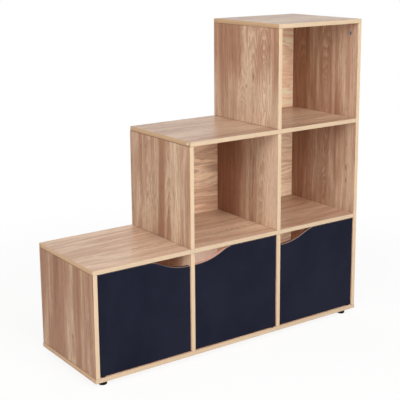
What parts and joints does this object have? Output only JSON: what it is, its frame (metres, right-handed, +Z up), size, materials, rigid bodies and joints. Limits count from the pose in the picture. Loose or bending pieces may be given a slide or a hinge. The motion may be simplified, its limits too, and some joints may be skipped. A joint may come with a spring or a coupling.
{
  "type": "cube bookcase",
  "caption": "Stepped cube bookcase in light oak laminate: columns rising to the right, open cubes above a lower row with inset navy doors that have S-shaped finger cut-outs.",
  "frame": {"origin": "on the floor, under the middle of the bookcase's width and depth", "axes": "+X to the right, towards the tall side, +Y to the rear, away from the doors, +Z up"},
  "size_m": [0.903, 0.3, 0.895],
  "materials": {
    "oak_laminate": "light oak melamine laminate with printed grain, satin, with paler edge banding",
    "oak_back": "light oak printed thin fibreboard, satin",
    "navy_laminate": "dark navy laminate, matt",
    "zinc": "die-cast zinc, dull grey",
    "steel": "zinc-plated steel",
    "beech": "beech dowel, unfinished",
    "white_plastic": "off-white moulded plastic",
    "beige_plastic": "beige moulded plastic",
    "black_plastic": "black moulded plastic"
  },
  "bodies": {
    "carcass": {"bottom_board": "oak_laminate", "level_1_board": "oak_laminate", "level_2_board": "oak_laminate", "top_board": "oak_laminate", "left_side_panel": "oak_laminate", "lower_divider_1": "oak_laminate", "lower_divider_2": "oak_laminate", "middle_left_panel": "oak_laminate", "middle_divider": "oak_laminate", "top_left_panel": "oak_laminate", "right_side_panel": "oak_laminate", "lower_back_panel": "oak_back", "middle_back_panel": "oak_back", "top_back_panel": "oak_back", "left_door_lower_bush": "black_plastic", "left_door_upper_bush": "black_plastic", "middle_door_lower_bush": "black_plastic", "middle_door_upper_bush": "black_plastic", "right_door_lower_bush": "black_plastic", "right_door_upper_bush": "black_plastic", "left_magnetic_catch": "white_plastic", "middle_magnetic_catch": "white_plastic", "right_magnetic_catch": "white_plastic", "left_side_cam_lock": "zinc", "lower_divider_1_cam_lock": "zinc", "lower_divider_2_cam_lock": "zinc", "middle_left_cam_lock": "zinc", "middle_divider_cam_lock": "zinc", "top_left_cam_lock": "zinc", "right_side_cam_lock": "zinc", "left_side_cam_bolt": "steel", "lower_divider_1_cam_bolt": "steel", "lower_divider_2_cam_bolt": "steel", "middle_left_cam_bolt": "steel", "middle_divider_cam_bolt": "steel", "top_left_cam_bolt": "steel", "right_side_cam_bolt": "steel", "left_side_dowel": "beech", "middle_left_dowel": "beech", "top_left_dowel": "beech", "level_1_board_dowel": "beech", "level_2_board_dowel": "beech", "foot_front_left": "black_plastic", "foot_front_right": "black_plastic", "foot_rear_left": "black_plastic", "foot_rear_right": "black_plastic", "bottom_board_end_plug": "beige_plastic", "level_2_board_end_plug": "white_plastic"},
    "left_door_body": {"left_door": "navy_laminate", "left_door_lower_pin": "steel", "left_door_upper_pin": "steel", "left_strike_plate": "steel"},
    "middle_door_body": {"middle_door": "navy_laminate", "middle_door_lower_pin": "steel", "middle_door_upper_pin": "steel", "middle_strike_plate": "steel"},
    "right_door_body": {"right_door": "navy_laminate", "right_door_lower_pin": "steel", "right_door_upper_pin": "steel", "right_strike_plate": "steel"}
  },
  "joints": [
    {"name": "left_door_hinge", "type": "hinge", "parent": "carcass", "child": "left_door_body", "pos_m": [-0.426, -0.143, 0.03], "axis": [0, 0, -1], "range_deg": [0, 100]},
    {"name": "middle_door_hinge", "type": "hinge", "parent": "carcass", "child": "middle_door_body", "pos_m": [0.13, -0.143, 0.03], "axis": [0, 0, 1], "range_deg": [0, 100]},
    {"name": "right_door_hinge", "type": "hinge", "parent": "carcass", "child": "right_door_body", "pos_m": [0.426, -0.143, 0.03], "axis": [0, 0, 1], "range_deg": [0, 100]}
  ]
}
